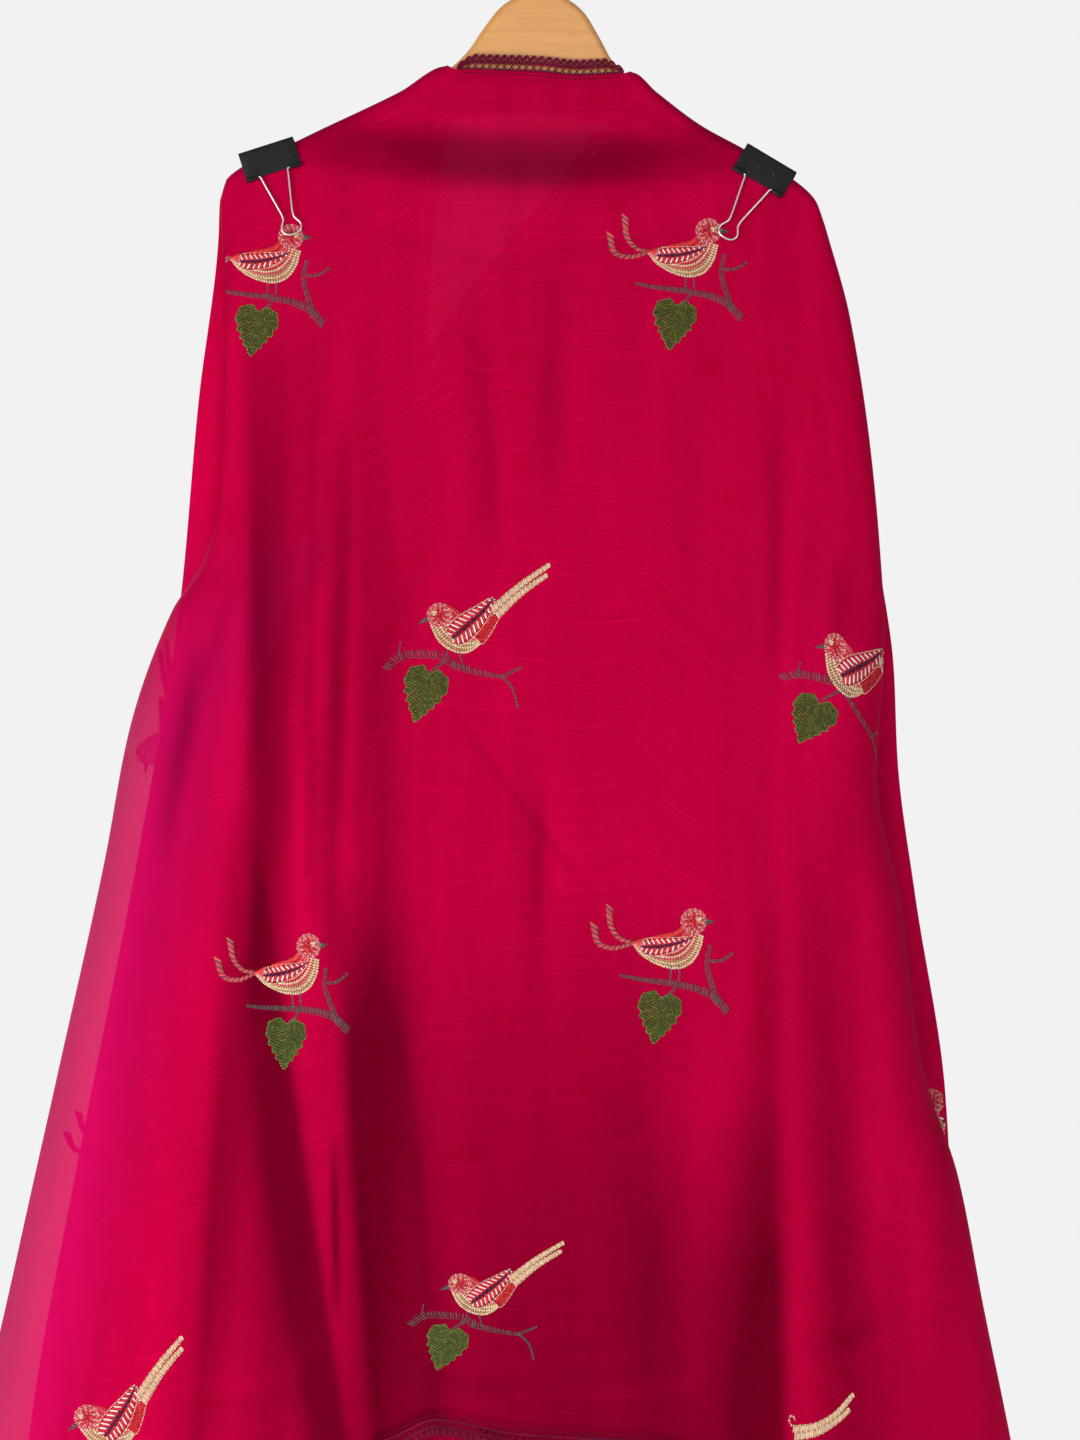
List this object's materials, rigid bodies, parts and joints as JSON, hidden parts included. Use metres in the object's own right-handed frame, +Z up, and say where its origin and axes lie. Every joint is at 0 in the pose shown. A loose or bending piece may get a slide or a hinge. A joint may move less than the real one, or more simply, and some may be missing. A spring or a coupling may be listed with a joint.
{
  "type": "dupatta stole on a wooden hanger",
  "caption": "Long sheer scarf with lace edging and embroidered birds, draped over a wooden hanger and gripped by folding steel clips whose wire handles turn.",
  "frame": {"origin": "top inside of the hanger's hook, where a rail bears", "axes": "+Z up, +X to the right and -Y towards the viewer, as seen from the stole's near side"},
  "size_m": [0.7687, 0.187, 1.3253],
  "materials": {
    "silk": "thin crepe silk, soft satin sheen, slightly see-through",
    "lace_thread": "crochet cotton thread, matte",
    "wood": "clear satin lacquer",
    "steel": "bright",
    "black_paint": "semi-gloss black, scuffed",
    "handle_steel": "bright nickel-plated wire"
  },
  "bodies": {
    "stole": {"front_fall": "silk", "front_hem_lace": "lace_thread", "neck_lace": "lace_thread", "left_folds": "silk", "left_folds_lace": "lace_thread", "left_end": "silk", "left_end_lace": "lace_thread", "right_folds": "silk", "right_folds_lace": "lace_thread", "right_end": "silk", "right_end_lace": "lace_thread", "hanger_body": "wood", "hanger_hook": "steel", "left_clip": "black_paint", "right_clip": "black_paint"},
    "left_clip_near_handle": {"left_clip_near_handle": "handle_steel"},
    "left_clip_far_handle": {"left_clip_far_handle": "handle_steel"},
    "right_clip_near_handle": {"right_clip_near_handle": "handle_steel"},
    "right_clip_far_handle": {"right_clip_far_handle": "handle_steel"}
  },
  "joints": [
    {"name": "left_clip_near_handle_turn", "type": "hinge", "parent": "stole", "child": "left_clip_near_handle", "pos_m": [-0.19628, -0.0116, -0.19699], "axis": [-0.9521, 0, -0.3057], "range_deg": [0, 175]},
    {"name": "left_clip_far_handle_turn", "type": "hinge", "parent": "stole", "child": "left_clip_far_handle", "pos_m": [-0.19628, 0.0116, -0.19699], "axis": [0.9521, 0, 0.3057], "range_deg": [0, 175]},
    {"name": "right_clip_near_handle_turn", "type": "hinge", "parent": "stole", "child": "right_clip_near_handle", "pos_m": [0.15015, -0.0116, -0.20404], "axis": [-0.859, 0, 0.512], "range_deg": [0, 175]},
    {"name": "right_clip_far_handle_turn", "type": "hinge", "parent": "stole", "child": "right_clip_far_handle", "pos_m": [0.15015, 0.0116, -0.20404], "axis": [0.859, 0, -0.512], "range_deg": [0, 175]}
  ]
}
